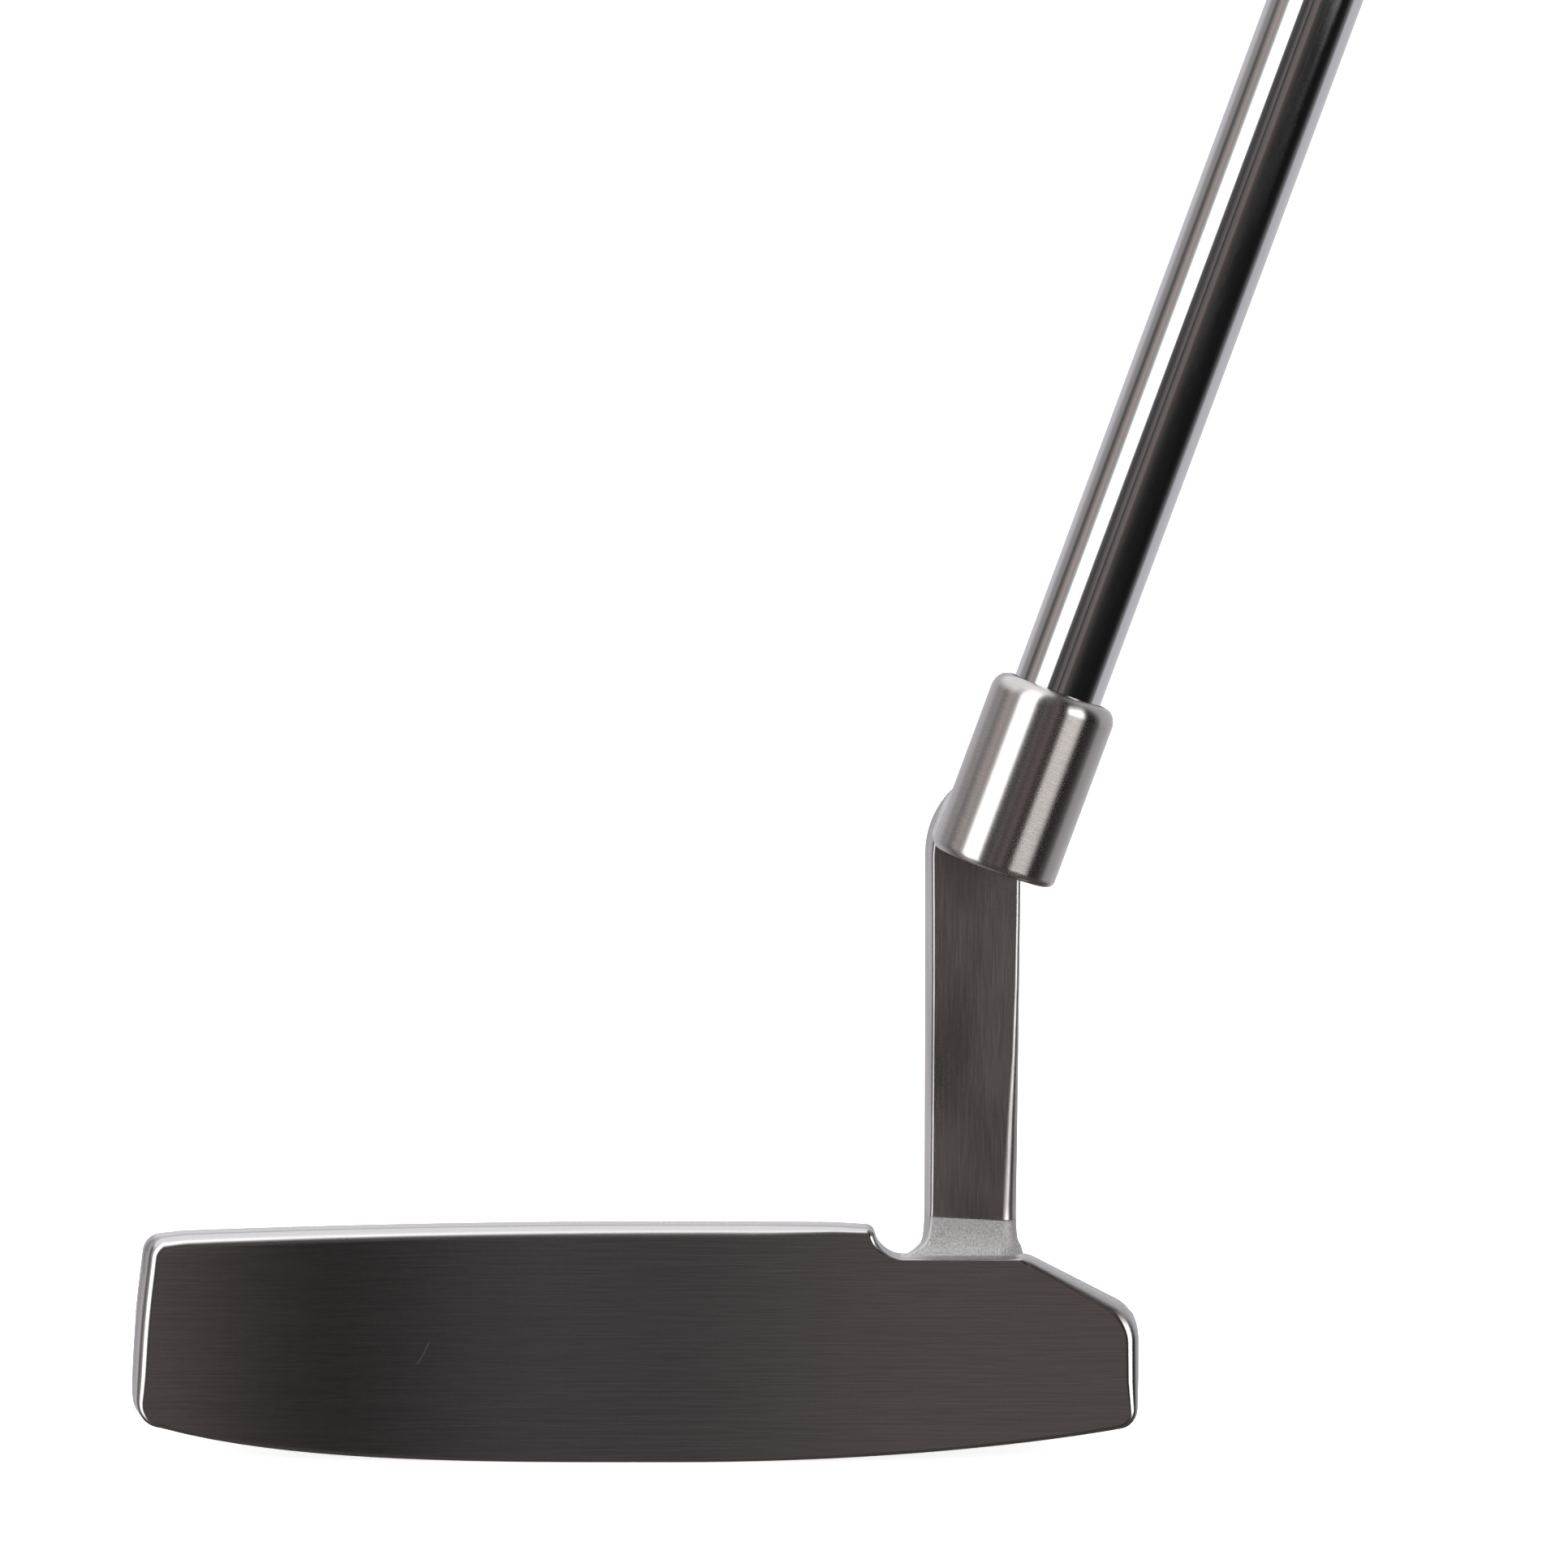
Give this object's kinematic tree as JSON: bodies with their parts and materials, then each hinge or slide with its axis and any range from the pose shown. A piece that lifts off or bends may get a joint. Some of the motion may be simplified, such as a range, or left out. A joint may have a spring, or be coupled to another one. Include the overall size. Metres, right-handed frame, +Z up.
{
  "type": "blade putter",
  "caption": "Right-handed heel-and-toe weighted blade putter with a plumber's neck, chromed stepped steel shaft and flat-front rubber grip.",
  "frame": {"origin": "the point where the sole touches the ground, at the middle of the head and 10 mm behind the leading edge of the face", "axes": "+Z up from the ground with the club soled, -X towards the toe and +X towards the heel and the player, -Y the way the face looks, so the target is at -Y"},
  "size_m": [0.3883, 0.0428, 0.8141],
  "materials": {
    "satin_steel": "cast stainless steel, face and neck brushed, perimeter bead blasted",
    "chrome_plate": "polished chrome over steel tube",
    "white_enamel": "satin enamel filled into the groove",
    "epoxy": "cured shafting epoxy",
    "plug_cork": "raw cork",
    "paper_tape": "double-sided grip tape",
    "grip_rubber": "matte moulded rubber",
    "cap_rubber": "smooth moulded rubber"
  },
  "bodies": {
    "root": {"head_casting": "satin_steel", "sight_line_infill": "white_enamel", "shaft": "chrome_plate", "shaft_epoxy": "epoxy", "tip_plug": "plug_cork", "grip_tape": "paper_tape", "grip_sleeve": "grip_rubber", "grip_cap": "cap_rubber"}
  },
  "joints": []
}
